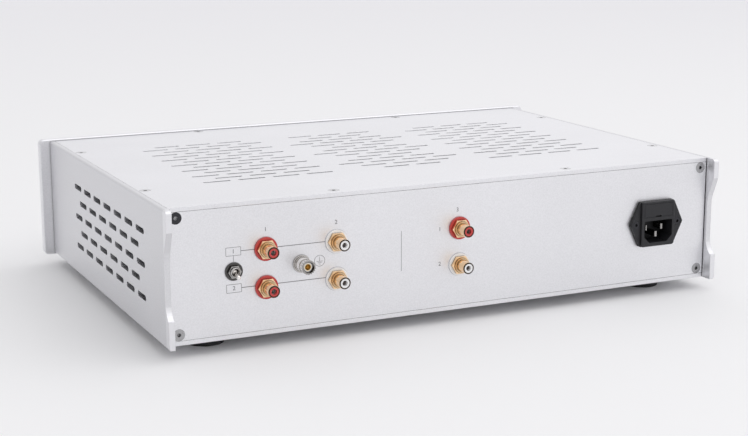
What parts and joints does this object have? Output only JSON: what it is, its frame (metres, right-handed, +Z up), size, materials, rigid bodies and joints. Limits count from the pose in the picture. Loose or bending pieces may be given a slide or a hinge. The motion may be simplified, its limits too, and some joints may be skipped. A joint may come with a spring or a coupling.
{
  "type": "phono preamplifier",
  "caption": "Flat aluminium-cased phono preamplifier with phono jacks, cartridge selector, ground terminal and fused mains inlet on its rear panel.",
  "frame": {"origin": "on the surface the feet stand on, under the middle of the whole object", "axes": "+Z up; the rear panel with its connectors faces +Y and the front panel faces -Y; +X is the right side seen from the front"},
  "size_m": [0.447, 0.3166, 0.1025],
  "materials": {
    "case": "bead-blasted, clear anodised silver",
    "panel": "bead-blasted, clear anodised silver",
    "rails": "as extruded",
    "screws": "zinc plated",
    "dark_screws": "blackened",
    "rubber": "matt black",
    "gold": "gold plated, polished",
    "brass": "turned",
    "red": "red moulding",
    "white": "white moulding",
    "fibre": "insulating washer",
    "nickel": "nickel plated",
    "black": "fine moulded texture",
    "switch_black": "moulded",
    "glass": "clear tube",
    "lamp": "tinted lens",
    "board": "solder mask",
    "components": "moulded cases",
    "transformer": "wound tape",
    "lead_red": "insulated lead",
    "lead_grey": "screened lead"
  },
  "bodies": {
    "chassis": {"front_panel": "case", "side_plate_left": "case", "side_plate_right": "case", "top_cover": "case", "bottom_plate": "case", "rear_panel": "panel", "side_rails": "rails", "cross_bars": "rails", "cover_screws": "screws", "rear_panel_screws": "screws", "frame_screws": "screws", "foot_front_left": "rubber", "foot_front_right": "rubber", "foot_rear_left": "rubber", "foot_rear_right": "rubber", "foot_screws": "screws", "jack_bodies_right": "gold", "jack_bodies_left": "gold", "jack_washers_red": "red", "jack_washers_white": "white", "jack_cores_red": "red", "jack_cores_white": "white", "jack_contacts": "gold", "jack_inner_washers": "fibre", "jack_ground_tags": "gold", "jack_nuts": "gold", "selector_case": "switch_black", "selector_washer": "nickel", "selector_nut": "nickel", "ground_post": "brass", "ground_nut": "nickel", "inlet_housing": "black", "inlet_blades": "nickel", "inlet_screws": "dark_screws", "power_bezel": "nickel", "power_nut": "nickel", "power_switch": "switch_black", "power_lamp": "lamp", "preamp_board": "board", "supply_board": "board", "preamp_parts": "components", "supply_parts": "components", "board_standoffs": "brass", "board_screws": "screws", "transformer": "transformer", "transformer_pad": "rubber", "transformer_clamp": "screws", "transformer_bolt": "screws", "power_leads": "lead_red", "signal_leads": "lead_grey"},
    "selector_lever": {"selector_lever": "nickel"},
    "ground_collar": {"ground_collar": "nickel"},
    "ground_knob": {"ground_knob": "nickel"},
    "fuse_drawer": {"fuse_drawer": "black", "fuse_tubes": "glass", "fuse_caps": "nickel"},
    "power_button": {"power_button": "case"}
  },
  "joints": [
    {"name": "selector_throw", "type": "hinge", "parent": "chassis", "child": "selector_lever", "pos_m": [0.1669, 0.14495, 0.0547], "axis": [1, 0, 0], "range_deg": [0, 30]},
    {"name": "ground_travel", "type": "slide", "parent": "chassis", "child": "ground_collar", "axis": [0, 1, 0], "range_m": [0, 0.0021]},
    {"name": "ground_unscrew", "type": "hinge", "parent": "ground_collar", "child": "ground_knob", "pos_m": [0.119, 0.14945, 0.0549], "axis": [0, 1, 0], "range_deg": [0, 1100]},
    {"name": "fuse_drawer_slide", "type": "slide", "parent": "chassis", "child": "fuse_drawer", "axis": [0, 1, 0], "range_m": [0, 0.012]},
    {"name": "power_press", "type": "slide", "parent": "chassis", "child": "power_button", "axis": [0, 1, 0], "range_m": [0, 0.0025], "stiffness_N_per_m": 300}
  ],
  "couplings": [
    {"joint": "ground_unscrew", "follows": "ground_travel", "rad_per_m": 8976}
  ]
}
